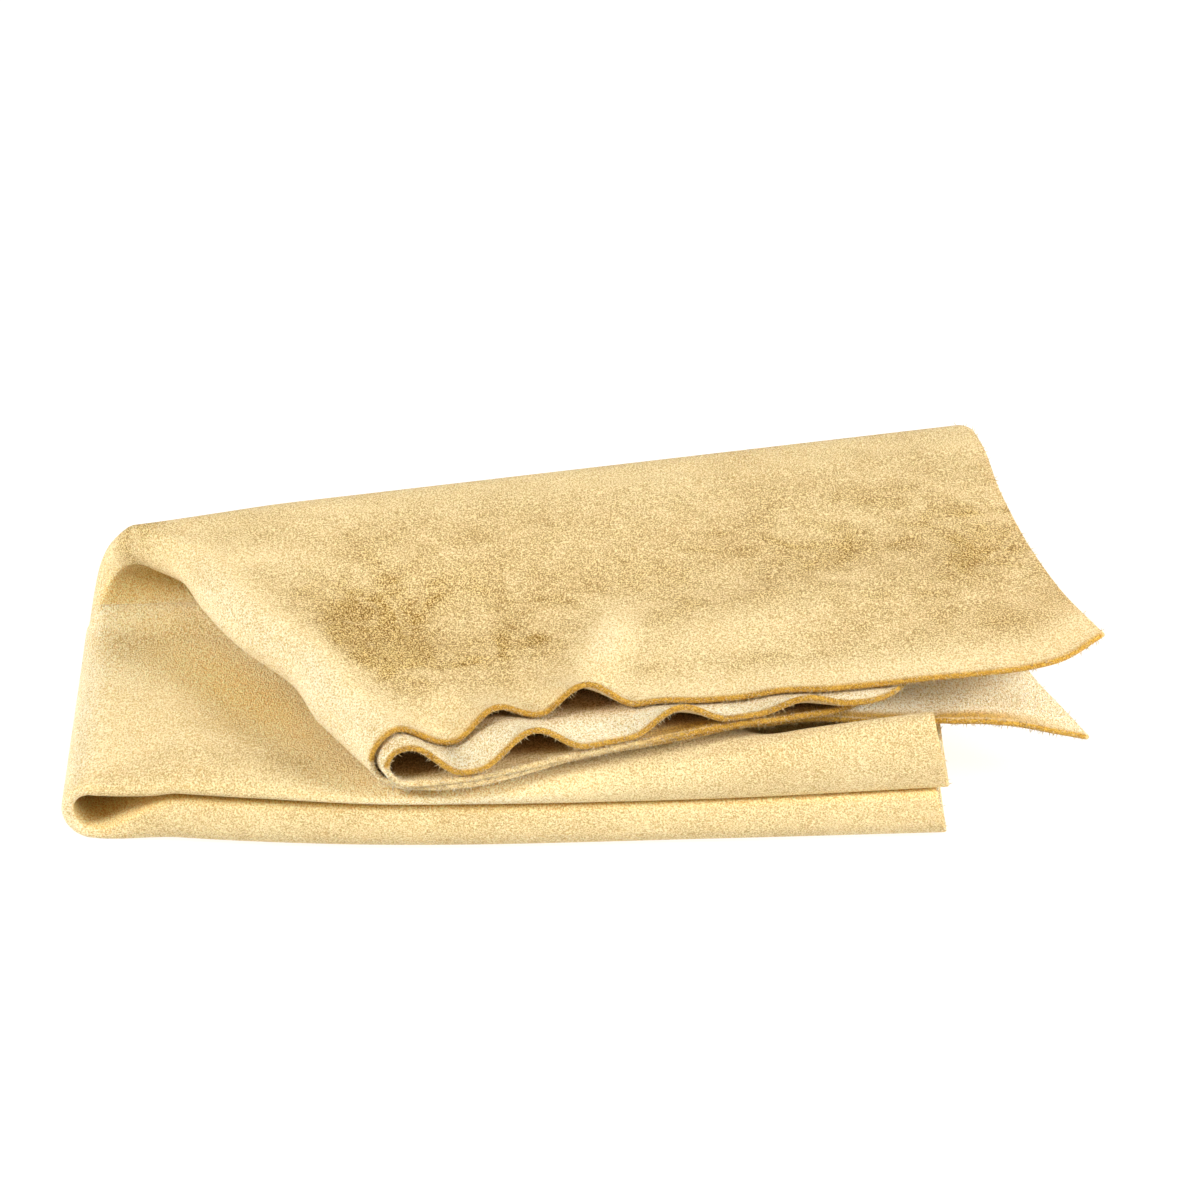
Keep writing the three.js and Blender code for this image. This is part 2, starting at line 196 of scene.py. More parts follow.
# Cut edges: golden along the flap's front, on the upper half from these places on, and pale at the right end
GOLDEN_FROM = (60, 95)
LEAST_GOLDEN = 0.15
BAND_BEHIND = (3, 8)  # the skin behind the two lowest edges is golden too
BAND_END = (175, 215)
SEAM_GOLDEN = 0.5  # share of the rim's gold where it meets the faces
EDGE_SWELL = 0.4
EDGE_SWELL_DEPTH = 3

# Painted shade on the skin between the layers, from these distances behind the edge above it
HOLLOW_SHADE = 0.8
HOLLOW_DEPTH = (1, 9)
HOLLOW_FROM_END = (4, 25)
HOLLOW_ROWS = (0.75, 1.3)
STACK_HOLLOW = 0.15  # share of it between the rolls
STACK_HOLLOW_ROWS = (2, 3)
SECOND_DEPTH = (-7, 8)  # on the second layer, from the edge of the top one
LOWEST_SHOWS = (110, 150)  # the lowest layer shows further back from here on
LOWEST_DEPTH = (26, 48)

# Loose fibres of the cut edges: three-sided spikes, fewer towards the right and fewest on the right ends
FIBRE_SEED = 11
FIBRES_PER_MM = 5
FIBRE_LENGTH = (0.7, 2.4)
FIBRE_RADIUS = 0.22
FIBRE_SPRAY = 0.6
FIBRE_GOLDEN = 0.5
THINNER_FROM = (150, 250)
THINNER_SHARE = 0.25
END_SHARE = 0.1
SPIKE_SIDES = 3
SPIKE_FACES = ((0, 2, 1), (0, 1, 3), (1, 2, 3), (2, 0, 3))

# Mesh: stretches of (start, end, rough length in mm, step in mm), and steps round the cut edge
STEP = 2.2
FINE_STEP = 1.3
COLUMN_STRETCHES = ((-2, -1, BACK_LENGTH, STEP), (-1, 1, 27, FINE_STEP), (1, 2, BACK_LENGTH, STEP))
NOSE_STRETCH = (-1, 1, 18, FINE_STEP)
LEAF_STRETCHES = ((1, 2, 165, STEP), (2, 3, 60, STEP), (3, 3.75, 120, STEP), (3.75, 4, 40, FINE_STEP))
PROUD_STRETCH = (4, 5, 15, FINE_STEP)
RIM_STEPS = 5

# Sizes that follow
PITCH = THICKNESS + CLEARANCE
FLAP_REACH = BACK_DEPTH + FLAP_OVERHANG
TURN_HEIGHTS = (0.0, PITCH, 2 * TURN_RADIUS - PITCH, 2 * TURN_RADIUS)
SKEW_COS, SKEW_SIN, SKEW_TAN = math.cos(BACK_SKEW), math.sin(BACK_SKEW), math.tan(BACK_SKEW)
BEND_LENGTH = math.pi * (BACK_RADIUS - TURN_RADIUS)
BACK_SLIP = BEND_LENGTH * SKEW_SIN
TAPERS = (OUTER_TAPER, INNER_TAPER, INNER_TAPER, LOWEST_TAPER)


def lerp(a, b, t):
    return a + (b - a) * t


def smoothstep(x, low, high):
    """0 up to low, then a smooth rise to 1 at high."""
    t = np.clip((x - low) / (high - low), 0, 1)
    return t * t * (3 - 2 * t)


def fade(x, low, high):
    """1 up to low, then a smooth fall to 0 at high."""
    return 1 - smoothstep(x, low, high)


def plateau(x, start, full, ease, end):
    """1 between full and ease, with a smooth rise from start and a smooth fall to end."""
    return smoothstep(x, start, full) * fade(x, ease, end)


def higher(a, b, softness=2.0):
    """The greater of two heights, rounded where they cross."""
    return 0.5 * (a + b + np.hypot(a - b, softness))


def hump(x, centre, half_width):
    """A cosine hump, 1 at its centre and 0 a half width away."""
    return 0.5 + 0.5 * np.cos(np.pi * np.clip(np.abs(x - centre) / half_width, 0, 1))


def along(points, at):
    """A smooth curve through (place, value) points, level past its ends."""
    places, values = np.array(points, float).T
    chord = np.diff(values) / np.diff(places)
    slope = 0.5 * (np.append(chord[0], chord) + np.append(chord, chord[-1]))
    x = np.clip(at, places[0], places[-1])
    i = np.clip(np.searchsorted(places, x) - 1, 0, len(places) - 2)
    width = places[i + 1] - places[i]
    t = (x - places[i]) / width
    start = values[i] * (1 + 2 * t) + slope[i] * width * t
    end = values[i + 1] * (3 - 2 * t) - slope[i + 1] * width * (1 - t)
    return start * (1 - t) ** 2 + end * t ** 2


def patches(listed, x, y):
    """The sum of soft long humps, each with its own place, direction and strength."""
    total = 0 * x
    for centre_x, centre_y, half_length, half_width, direction, strength in listed:
        heading = math.radians(direction)
        lengthways = (x - centre_x) * math.cos(heading) + (y - centre_y) * math.sin(heading)
        across = (y - centre_y) * math.cos(heading) - (x - centre_x) * math.sin(heading)
        total = total + strength * hump(lengthways, 0, half_length) * hump(across, 0, half_width)
    return total


def unit(vectors):
    return vectors / np.maximum(np.linalg.norm(vectors, axis=-1, keepdims=True), 1e-9)


def fold_angle(v):
    """Angle turned round a fold that lies between -1 and 1."""
    return (np.clip(v, -1, 1) + 1) * np.pi / 2


def past_fold(v):
    """0 before a fold and 1 past it: which half a column lies on, or which leaf a row lies on."""
    return 0.5 - 0.5 * np.cos(fold_angle(v))


def stretch(v, start):
    """Share of the way from start to the next whole number, on either side of a fold."""
    return np.clip(np.abs(v) - start, 0, 1)


def back_line(x):
    """Depth of the back fold at a place along the length."""
    return BACK_DEPTH + SKEW_TAN * x


def restack(height, layers):
    """A height in the left fold's even stack, moved to where the four layers really lie."""
    placed = layers[0] + 0 * height
    for i in range(3):
        share = (height - TURN_HEIGHTS[i]) / (TURN_HEIGHTS[i + 1] - TURN_HEIGHTS[i])
        placed = placed + np.clip(share, 0, 1) * (layers[i + 1] - layers[i])
    return placed


def by_layer(values, half, leaf):
    """One value for each layer, mixed by half (0 lower, 1 upper) and leaf (0 outer, 1 inner)."""
    return lerp(lerp(values[0], values[1], leaf), lerp(values[3], values[2], leaf), half)


def opening(x):
    """How far the layers have opened out of the left fold."""
    return smoothstep(x, OPENING_START, OPENING_START + OPENING_LENGTH)


def upper_roll(x, depth):
    """Height of the upper roll: it flattens slowly to the back, but closes to a tube at its right end."""
    tube = smoothstep(x, *TUBE_START)
    fade_start = lerp(ROLL_FADE_START, TUBE_DEPTH[0], tube)
    fade_end = lerp(back_line(x) - ROLL_FADE_END, TUBE_DEPTH[1], tube)
    return opening(x) * (along(UPPER_ROLL, x) - PITCH) * fade(depth, fade_start, fade_end)


def stack_heights(x, depth):
    """Heights of layers 1 to 4 in the stack under the flap."""
    back = back_line(x)
    ahead = along(RIDGE_AHEAD, x)
    full = opening(x) * fade(depth, ROLL_FADE_START, back - ROLL_FADE_END)
    sunk = SETTLE * smoothstep(x, 2 * TURN_RADIUS, 2 * TURN_RADIUS + SETTLE_LENGTH)
    pressed = 1 - BACK_PRESS * smoothstep(depth, back - ahead, back)
    second = PITCH + (along(LOWER_ROLL, x) - PITCH) * full
    third = higher((TURN_HEIGHTS[2] - sunk) * pressed, second + PITCH)
    ridge = RIDGE_HEIGHT * hump((back - depth) * SKEW_COS, ahead, np.minimum(ahead, RIDGE_HALF_WIDTH))
    swell = opening(x) * patches(STACK_SWELLS, x, depth)
    return 0, second, third, third + PITCH + upper_roll(x, depth) + ridge + swell


def wave_height(waves, x, behind):
    """The waves of one cut edge, at a distance behind it."""
    return sum(height * hump(x, place, width) * np.exp(-behind / depth)
               for place, width, height, depth in waves)


def reach_of(edge, x):
    """How far a leaf reaches forward from the back fold."""
    return FLAP_REACH + along(edge, x)


def past_end(plan_x, plan_y):
    """How far a place lies past the right end of the stack."""
    return plan_x - lerp(max(FRONT_LENGTHS), BACK_LENGTH, np.clip(plan_y / back_line(BACK_LENGTH), 0, 1))


def stack_top(plan_x, plan_y):
    """Height of the stack's top layer under a place of the flap."""
    x = np.clip(plan_x, 0, BACK_LENGTH)
    return stack_heights(x, np.clip(plan_y - along(FRONT_LINE, x), 0, back_line(x)))[3]


def corner_fall(plan_x, plan_y, level):
    """How far the lowest layer hangs under the rest of the flap, near the stack's right end and past it."""
    past = past_end(plan_x, plan_y)
    support = stack_top(plan_x, plan_y) + REST_GAP - CORNER_SLOPE * np.maximum(past, 0)
    return level - higher(level - along(CORNER_FALL, past), support)


def flap_heights(x, forward, plan_x, plan_y, level):
    """Heights of the flap's layers, from its lowest to its top, above the level it lies at."""
    behind_inner = np.maximum(reach_of(INNER_EDGE, x) - forward, 0)
    behind_outer = np.maximum(reach_of(OUTER_EDGE, x) - forward, 0)
    closing = smoothstep(behind_inner, 0, EDGE_CURL)
    inner = smoothstep(x, TURN_RADIUS, TURN_RADIUS + INNER_TURN[0] + INNER_TURN[1] * closing)
    outer = smoothstep(x, TURN_RADIUS, TURN_RADIUS + OUTER_TURN[0] + OUTER_TURN[1] * closing)
    pressed = 1 - BACK_PRESS * np.clip(1 - forward / FLAP_REACH, 0, 1)
    third = PITCH
    lifted = PITCH + FLAP_AIR + wave_height(INNER_WAVES, x, behind_inner)
    second = third + lerp(TURN_HEIGHTS[2] * pressed - PITCH, lifted, inner)
    top = second + PITCH + wave_height(OUTER_WAVES, x, behind_outer) * outer
    return -corner_fall(plan_x, plan_y, level), third, second, top


def flap_level(plan_x, plan_y, forward):
    """The level that the flap lies at, as it spans from the back fold to the front rolls."""
    x = np.clip(plan_x, 0, BACK_LENGTH)
    back_rest = 2 * BACK_RADIUS - stack_heights(x, back_line(x))[3]
    span = lerp(back_rest, along(FRONT_REST, x), np.clip(forward / FLAP_REACH, 0, REST_PAST))
    return higher(span, stack_top(plan_x, plan_y) + REST_GAP) + patches(FLAP_SWELLS, plan_x, plan_y)


def turn_width(r):
    """How far the left fold bulges out, by row: the back fold pinches it."""
    pinched = plateau(np.abs(r), *PINCH_ROWS)
    return (TURN_RADIUS - PITCH * past_fold(r)) * (1 - TURN_PINCH * pinched)


def turn_end(r):
    """Where the left fold ends and the straight layers start, by row."""
    return PITCH * past_fold(r) + turn_width(r)


def right_end(r, half):
    """Length of the sheet from the left fold to its right end, by row."""
    leaf = past_fold(r)
    taper = by_layer([along(points, stretch(r, 3)) for points in TAPERS], half, leaf)
    return lerp(by_layer(FRONT_LENGTHS, half, leaf), BACK_LENGTH, stretch(r, 1) ** 2) - taper


def sheet_x(c, r):
    """Distance along the length at columns and rows of the fold coordinates."""
    outward = stretch(c, 1) * (right_end(r, past_fold(c)) - turn_end(r))
    return turn_end(r) - turn_width(r) * np.sin(fold_angle(c)) + outward


def sheet_point(c, r):
    """The middle of the sheet's thickness at columns and rows of the fold coordinates."""
    half, leaf = past_fold(c), past_fold(r)
    run, flap = stretch(r, 1), stretch(r, 3)
    bend = stretch(r, 2) * np.pi
    x = sheet_x(c, r)

    height = TURN_RADIUS - (TURN_RADIUS - PITCH * leaf) * np.cos(fold_angle(c))
    blunt = lerp(1, INNER_NOSE, leaf)
    nose_depth = PITCH / 2 + opening(x) * lerp(LOWER_NOSE, along(UPPER_NOSE, x), half) * blunt
    depth = lerp(nose_depth * (1 - np.sin(fold_angle(r)) * (1 - run)), back_line(x), run)
    stacked = restack(height, stack_heights(x, depth))

    inner_reach = reach_of(INNER_EDGE, x) - THIRD_SHORT * half * smoothstep(x, *THIRD_SHORT_FROM)
    limit = np.where(r > 0, inner_reach - LEAST_PROUD, np.inf)
    lower_reach = np.minimum(reach_of(OUTER_EDGE, x), limit)
    upper_reach = np.minimum(reach_of(LOWEST_EDGE, x), limit)
    reach = lerp(lower_reach, upper_reach, half)
    forward = flap * reach + np.clip(r - 4, 0, 1) * (inner_reach - reach)

    corner = fade(x, 0, CORNER_LENGTH) * hump(bend, CORNER_ANGLE, CORNER_SPREAD)
    flattened = CORNER_FLAT * corner * (1 - height / TURN_HEIGHTS[3])
    radius = BACK_RADIUS - stacked - flattened
    behind_line = radius * np.sin(bend) - forward
    slip = BACK_SLIP * bend / np.pi
    past_bend = forward - BEND_LENGTH * (1 - bend / np.pi)
    inset = along(FLAP_INSET, past_bend) * fade(x, 0, INSET_LENGTH)
    plan_x = x + inset + forward * SKEW_SIN + slip * SKEW_COS - behind_line * SKEW_SIN
    plan_y = (depth + along(FRONT_LINE, x) * (1 - run) + (forward * SKEW_TAN + slip) * SKEW_SIN
              + behind_line * SKEW_COS)

    folded = BACK_RADIUS - radius * np.cos(bend)
    level = flap_level(plan_x, plan_y, forward)
    lying = level + restack(2 * TURN_RADIUS - height, flap_heights(x, forward, plan_x, plan_y, level))
    lean = LEFT_LEAN * np.clip(plan_y / BACK_DEPTH, 0, 1) * np.clip(1 - plan_x / BACK_LENGTH, 0, 1)
    plan_z = lerp(folded, lying, smoothstep(forward, 0, REST_LENGTH))
    return np.stack([plan_x - lean, plan_y, plan_z], -1)


def stations(*stretches):
    """Evenly spaced stations over stretches of (start, end, length in mm, step in mm)."""
    found = [np.array([stretches[0][0]], float)]
    for start, end, length, step in stretches:
        found.append(np.linspace(start, end, max(2, round(length / step) + 1))[1:])
    return np.concatenate(found)


def sheet_grid():
    """The column and the row of every station of the sheet, as two grids."""
    outer = [(-end, -start, length, step) for start, end, length, step in reversed(LEAF_STRETCHES)]
    rows = stations(*outer, NOSE_STRETCH, *LEAF_STRETCHES, PROUD_STRETCH)
    return np.meshgrid(stations(*COLUMN_STRETCHES), rows, indexing="ij")


def behind_edge(middle):
    """Distance of every station along its column from the nearer cut edge."""
    steps = np.linalg.norm(np.diff(middle, axis=1), axis=2)
    from_start = np.pad(np.cumsum(steps, 1), ((0, 0), (1, 0)))
    return np.minimum(from_start, from_start[:, -1:] - from_start)


def brushed_nap(c, r, x, behind, plan_x, plan_y):
    """How the nap lies, with painted light and shade: below 0 where the nap is worn pale and where light is
    painted, and above 0 where it is brushed dark and where shade is painted.
    """
    row = np.abs(r)
    lip = LIP_NAP * hump(behind, LIP_BEHIND, LIP_HALF_WIDTH)
    flap = np.clip(FLAP_NAP_AND_SHADE + lip + patches(FLAP_NAP_AND_SHADE_PATCHES, plan_x, plan_y), *FLAP_NAP_LIMITS)
    on_flap = smoothstep(row, *FLAP_NAP_ROWS) * smoothstep(x, *FLAP_NAP_FROM)
    on_stack = smoothstep(c, *UPPER_COLUMNS) * fade(row, *STACK_END_ROWS)
    stack = patches(STACK_NAP_AND_SHADING_PATCHES, plan_x, plan_y) * on_stack
    rolls = ROLL_NAP * fade(row, *ROLL_END_ROWS)
    folds = FOLD_NAP * fade(x, *FOLD_NAP_END) * (1 - hump(row, FOLD_BACK_ROW, FOLD_BACK_ROWS))
    facet = FACET_SHADE * fade(x, *FACET_END) * hump(row, FACET_ROW, FACET_ROWS)
    return flap * on_flap + stack + rolls + folds + facet


def warm_glow(c, r, plan_x, plan_y):
    """Painted warm light, as if bounced off the skin around: in the back fold, along the flap and between the
    rolls.
    """
    recess = hump(r, RECESS_ROW, RECESS_ROWS)
    valley = patches(STACK_GLOWING, plan_x, plan_y) * plateau(r, *VALLEY_ROWS)
    between = plateau(r, *BETWEEN_ROWS)
    return np.maximum(smoothstep(c, *UPPER_COLUMNS) * np.maximum(recess, valley), between)


def hollow_shade(c, r, x, behind):
    """Painted shade between the layers on both faces: away from the front fold's inside, and towards it."""
    depth = HOLLOW_SHADE * smoothstep(right_end(r, np.where(c > 0, 1, 0)) - x, *HOLLOW_FROM_END)
    under_edge = smoothstep(behind, *HOLLOW_DEPTH)
    by_row = lerp(STACK_HOLLOW, 1, smoothstep(r, *STACK_HOLLOW_ROWS))
    away = smoothstep(r, *HOLLOW_ROWS) * under_edge * by_row
    ahead = along(INNER_EDGE, x) - along(OUTER_EDGE, x)
    second = smoothstep(behind - ahead, *SECOND_DEPTH)
    lowest = lerp(under_edge, smoothstep(behind, *LOWEST_DEPTH), smoothstep(x, *LOWEST_SHOWS))
    on_second, on_lowest = (c < 0) & (r > 0), (c > 0) & (r < 0)
    towards = np.where(on_second, second, np.where(on_lowest, lowest, under_edge))
    return depth * away, depth * towards


def edge_gold(c, x):
    """How golden the cut edge is at every station."""
    golden = np.where(c > 0, lerp(LEAST_GOLDEN, 1, smoothstep(x, *GOLDEN_FROM)), 1)
    golden[[0, -1]] = LEAST_GOLDEN
    return golden


def edge_fuzz(c, x):
    """Share of the loose fibres that every station of the cut edge has."""
    return np.where(np.abs(c) < 2, lerp(1, THINNER_SHARE, smoothstep(x, *THINNER_FROM)), END_SHARE)


def edge_outward(middle, normal, loop):
    """Directions out of the sheet along its cut edge."""
    n_c, n_r, _ = middle.shape
    on_edge = middle.reshape(-1, 3)[loop]
    tangent = np.roll(on_edge, -1, 0) - np.roll(on_edge, 1, 0)
    outward = unit(np.cross(normal.reshape(-1, 3)[loop], tangent))
    inside = middle[np.clip(loop // n_r, 1, n_c - 2), np.clip(loop % n_r, 1, n_r - 2)]
    return outward * np.sign(((on_edge - inside) * outward).sum(1, keepdims=True))


def add_mesh(name, points, faces, **attributes):
    """A mesh object with smooth faces and one value per point for each attribute."""
    mesh = bpy.data.meshes.new(name)
    mesh.from_pydata(points, [], faces)
    for label, values in attributes.items():
        mesh.attributes.new(label, "FLOAT", "POINT").data.foreach_set("value", values)
    mesh.polygons.foreach_set("use_smooth", np.ones(len(faces), bool))
    mesh.validate()
    mesh.update()
    made = bpy.data.objects.new(name, mesh)
    bpy.context.scene.collection.objects.link(made)
    return made


def build_sheet(name):
    """The sheet as one closed mesh with a rounded cut edge, its origin, and the course of its edge."""
    c, r = sheet_grid()
    x = sheet_x(c, r)
    middle = sheet_point(c, r)
    normal = unit(np.cross(np.gradient(middle, axis=1), np.gradient(middle, axis=0)))
    behind = behind_edge(middle)
    golden = edge_gold(c, x)
    index = np.arange(c.size).reshape(c.shape)
    loop = np.concatenate([index[:-1, 0], index[-1, :-1], index[:0:-1, -1], index[0, :0:-1]])
    edge = {
        "middle": middle.reshape(-1, 3)[loop],
        "normal": normal.reshape(-1, 3)[loop],
        "outward": edge_outward(middle, normal, loop),
        "fuzz": edge_fuzz(c, x).ravel()[loop],
        "golden": golden.ravel()[loop],
    }

    # Points: the two faces, then rings round the rim from one face to the other
    radius = THICKNESS / 2 * (1 + EDGE_SWELL * fade(behind, 0, EDGE_SWELL_DEPTH))
    tight = hump(r, 0, SQUEEZE_ROWS) * smoothstep(c, *SQUEEZE_COLUMNS) * fade(x, *SQUEEZE_FADE)
    inner_radius = radius * (1 - FOLD_SQUEEZE * tight)
    points = [
        (middle + radius[..., None] * normal).reshape(-1, 3),
        (middle - inner_radius[..., None] * normal).reshape(-1, 3),
    ]
    rings = [loop]
    edge_radius = radius.ravel()[loop, None]
    for k in range(1, RIM_STEPS):
        angle = math.pi * (0.5 - k / RIM_STEPS)
        heading = math.sin(angle) * edge["normal"] + math.cos(angle) * edge["outward"]
        points.append(edge["middle"] + edge_radius * heading)
        rings.append(2 * c.size + (k - 1) * len(loop) + np.arange(len(loop)))
    rings.append(loop + c.size)
    points = np.concatenate(points)
    low, high = points.min(0), points.max(0)
    origin = np.array([(low[0] + high[0]) / 2, (low[1] + high[1]) / 2, low[2]])

    corners = index[:-1, :-1], index[1:, :-1], index[1:, 1:], index[:-1, 1:]
    lower = np.stack(corners, -1).reshape(-1, 4) + c.size
    upper = np.stack([corners[0], *corners[:0:-1]], -1).reshape(-1, 4)
    rim = [np.stack([p, np.roll(p, -1), np.roll(q, -1), q], -1) for p, q in zip(rings[:-1], rings[1:])]
    quads = np.concatenate([upper, lower, *rim])

    # Tones: values of the two faces and of the rim
    gold_band = golden * fade(behind, *BAND_BEHIND) * fade(x, *BAND_END) * (c > 0)
    cut_upper = (gold_band * (r > 0)).ravel()
    cut_lower = (gold_band * (r < 0)).ravel()
    cut_upper[loop] = cut_lower[loop] = SEAM_GOLDEN * edge["golden"]
    brushed = brushed_nap(c, r, x, behind, middle[..., 0], middle[..., 1]).ravel()
    hollow_upper, hollow_lower = hollow_shade(c, r, x, behind)
    warm = warm_glow(c, r, middle[..., 0], middle[..., 1])
    none = np.zeros(c.size)

    def spread(on_upper, on_lower, on_edge):
        """Values for both faces and for every ring of the rim."""
        return np.concatenate([on_upper.ravel(), on_lower.ravel(), np.tile(on_edge, RIM_STEPS - 1)])

    made = add_mesh(
        name, (points - origin) * MM, quads,
        cut_edge=spread(cut_upper, cut_lower, edge["golden"]),
        inner_face=spread(none, none + 1, none[loop]),
        brushed=spread(brushed, none, brushed[loop]),
        hollow=spread(hollow_upper, hollow_lower, none[loop]),
        warm=spread(warm, none, none[loop]))
    return made, origin, edge


def build_fringe(name, edge, origin):
    """Loose fibres along the cut edges, each one a closed spike, without those that would reach the floor."""
    chance = np.random.default_rng(FIBRE_SEED)
    step = np.linalg.norm(np.roll(edge["middle"], -1, 0) - edge["middle"], axis=1)
    start = np.repeat(np.arange(len(step)), chance.poisson(step * FIBRES_PER_MM * edge["fuzz"]))
    start = start[edge["middle"][start, 2] > origin[2] + FIBRE_LENGTH[1] + THICKNESS]
    share = chance.random((len(start), 1))
    middle, normal, outward = (
        lerp(edge[key][start], np.roll(edge[key], -1, 0)[start], share)
        for key in ("middle", "normal", "outward"))
    angle = chance.uniform(-np.pi / 2, np.pi / 2, (len(start), 1))
    radial = unit(np.cos(angle) * outward + np.sin(angle) * normal)
    base = middle + (THICKNESS / 2 - FIBRE_RADIUS) * radial
    heading = unit(radial + FIBRE_SPRAY * chance.normal(size=base.shape))
    side = unit(np.cross(heading, unit(outward + normal)))
    other = np.cross(heading, side)
    corners = [base + FIBRE_RADIUS * (math.cos(turn) * side + math.sin(turn) * other)
               for turn in np.arange(SPIKE_SIDES) * 2 * math.pi / SPIKE_SIDES]
    tip = base + heading * chance.uniform(*FIBRE_LENGTH, (len(start), 1))
    spikes = np.stack([*corners, tip], 1)
    first_point = spikes.shape[1] * np.arange(len(start))
    points = (spikes.reshape(-1, 3) - origin) * MM
    faces = (first_point[:, None, None] + np.array(SPIKE_FACES)).reshape(-1, 3)
    golden = np.repeat(FIBRE_GOLDEN * edge["golden"][start], spikes.shape[1])
    return add_mesh(name, points, faces, inner_face=np.ones(len(points)), cut_edge=golden)


# Suede: places on a ramp and linear colours, from the pits of the nap to its tips
PALE_TONES = ((0.4, (0.68, 0.47, 0.19)), (0.5, (0.9, 0.71, 0.385)), (0.6, (1, 0.88, 0.57)))
DARK_TONES = ((0.41, (0.16, 0.075, 0.008)), (0.5, (0.43, 0.257, 0.058)), (0.59, (0.85, 0.67, 0.3)))
# Painted warm light in the hollows
WARM_TONES = ((0.4, (0.78, 0.47, 0.15)), (0.5, (1, 0.74, 0.33)), (0.6, (1, 0.92, 0.5)))
INNER_TONES = ((0.4, (0.64, 0.46, 0.19)), (0.5, (0.96, 0.83, 0.54)), (0.6, (1, 0.97, 0.8)))
CUT_TONES = ((0.36, (0.33, 0.145, 0.008)), (0.5, (0.56, 0.31, 0.035)), (0.64, (0.77, 0.5, 0.11)))
# Painted shade between the layers
HOLLOW_SHADE_TONES = ((0.4, (0.24, 0.11, 0.025)), (0.5, (0.38, 0.19, 0.05)), (0.6, (0.54, 0.31, 0.1)))

# Its patterns: metres across a blob, detail, roughness, distortion
MOTTLE = (0.04, 2, 0.5, 0.3)
CLUMPS = (0.018, 3, 0.55, 1)
NAP = (0.0005, 2, 0.6, 0.3)
PEBBLES = (0.0018, 2, 0.5, 0.4)
NAP_STRETCH = (1, 0.6, 1.35)  # the nap lies towards the back, so it is longer that way
TONE_SHARES = (0.1, 0.05, 0.85)  # of the mottle, the clumps and the nap
PATCHY_NAP_AND_SHADE = {"From Min": 0.3, "From Max": 0.7, "To Min": 0.45, "To Max": 1.55}
RAGGED_GAIN = 1.2
RAGGED_BASE = 0.4
PEBBLE_RELIEF = {"Strength": 0.6, "Distance": 0.0006}
NAP_RELIEF = {"Strength": 1.0, "Distance": 0.0008}
SUEDE_SURFACE = {
    "Roughness": 0.95,
    "Specular IOR Level": 0.15,
    "Sheen Weight": 0.1,
    "Sheen Roughness": 0.4,
    "Sheen Tint": (1, 0.95, 0.84, 1),
    "Subsurface Weight": 0.2,
    "Subsurface Radius": (1, 0.55, 0.25),
    "Subsurface Scale": 0.003,
}


def set_inputs(tree, node, inputs):
    """Sets each input of a node to a value, or links it to another node's output."""
    for key, value in inputs.items():
        if isinstance(value, bpy.types.NodeSocket):
            tree.links.new(value, node.inputs[key])
        else:
            node.inputs[key].default_value = value


def add_node(tree, kind, inputs, **settings):
    """A new shader node with these inputs and settings."""
    made = tree.nodes.new("ShaderNode" + kind)
    for key, value in settings.items():
        setattr(made, key, value)
    set_inputs(tree, made, inputs)
    return made


def noise(tree, vector, size, detail, roughness, distortion):
    """Noise whose blobs are about that many metres across."""
    inputs = {"Vector": vector, "Scale": 1 / size, "Detail": detail, "Roughness": roughness,
              "Distortion": distortion}
    return add_node(tree, "TexNoise", inputs).outputs["Fac"]


def tones(tree, factor, stops):
    """A colour ramp through (place, colour) stops."""
    ramp = add_node(tree, "ValToRGB", {"Fac": factor})
    elements = ramp.color_ramp.elements
    while len(elements) < len(stops):
        elements.new(0.5)
    for element, (place, colour) in zip(elements, stops):
        element.position = place
        element.color = (*colour, 1)
    return ramp.outputs["Color"]


def mix(tree, factor, first, second):
    return add_node(tree, "MixRGB", {"Fac": factor, "Color1": first, "Color2": second}).outputs["Color"]


def math_node(tree, operation, first, second):
    return add_node(tree, "Math", {0: first, 1: second}, operation=operation).outputs["Value"]


def attribute(tree, name):
    """The values that a mesh has under this name."""
    return add_node(tree, "Attribute", {}, attribute_name=name).outputs["Fac"]


